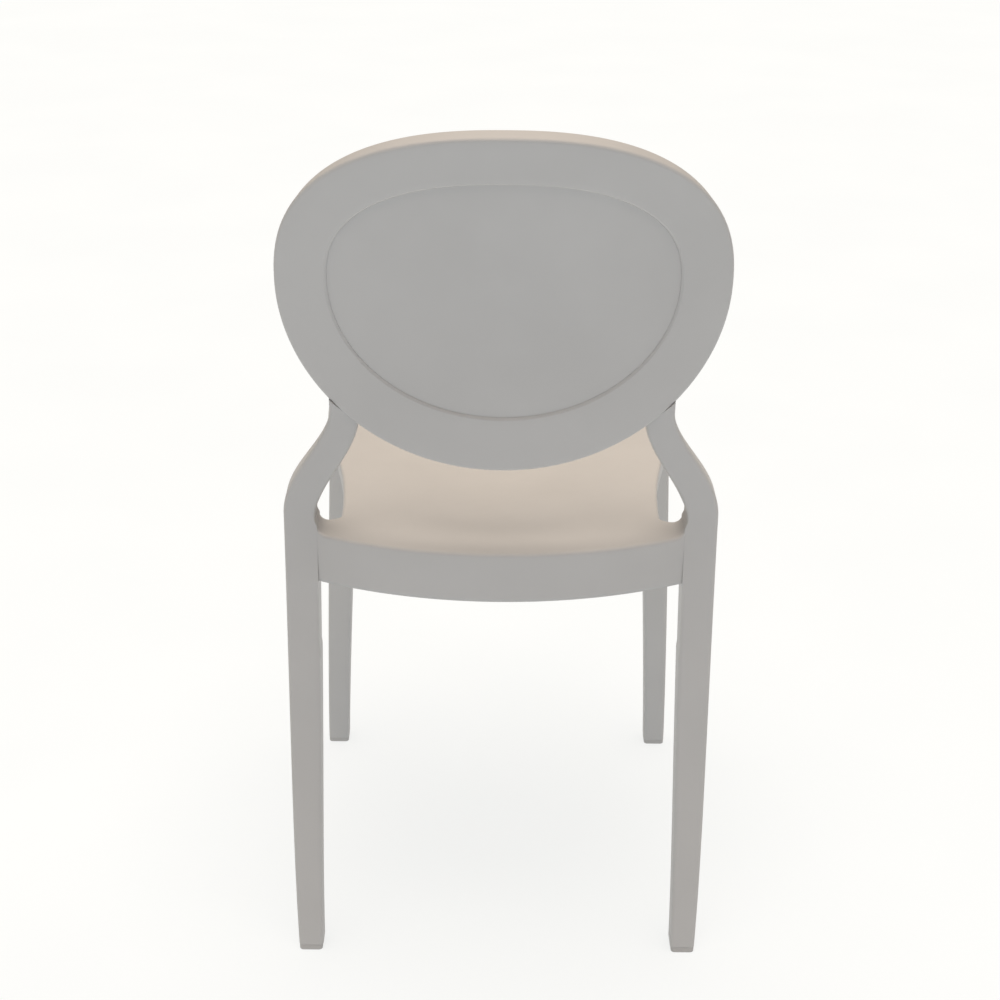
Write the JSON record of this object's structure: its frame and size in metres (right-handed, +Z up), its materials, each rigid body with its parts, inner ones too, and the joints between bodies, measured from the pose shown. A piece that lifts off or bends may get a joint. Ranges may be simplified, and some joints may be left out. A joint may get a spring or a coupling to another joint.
{
  "type": "stacking chair",
  "caption": "Off-white moulded plastic stacking chair with an egg-shaped curved back on bowed uprights, a dished waisted seat with a deep skirt, and tapered legs.",
  "frame": {"origin": "middle of the chair's overall footprint, on the floor", "axes": "+Z up; the sitter faces -Y; +X is the sitter's left"},
  "size_m": [0.4398, 0.52, 0.8963],
  "materials": {
    "shell_plastic": "fine matte moulded texture",
    "glide_plastic": "satin, slightly darker than the legs",
    "screw_steel": "zinc plated"
  },
  "bodies": {
    "root": {"seat": "shell_plastic", "back_shell": "shell_plastic", "back_panel": "shell_plastic", "rear_leg_left": "shell_plastic", "rear_leg_right": "shell_plastic", "front_leg_left": "shell_plastic", "front_leg_right": "shell_plastic", "rear_foot_left": "glide_plastic", "rear_foot_right": "glide_plastic", "front_foot_left": "glide_plastic", "front_foot_right": "glide_plastic", "rear_leg_screw_left_lower": "screw_steel", "rear_leg_screw_right_lower": "screw_steel", "rear_leg_screw_left_upper": "screw_steel", "rear_leg_screw_right_upper": "screw_steel", "back_screw_left_lower": "screw_steel", "back_screw_right_lower": "screw_steel", "back_screw_left_upper": "screw_steel", "back_screw_right_upper": "screw_steel", "front_leg_screw_left_side": "screw_steel", "front_leg_screw_right_side": "screw_steel", "front_leg_screw_left_front": "screw_steel", "front_leg_screw_right_front": "screw_steel"}
  },
  "joints": []
}
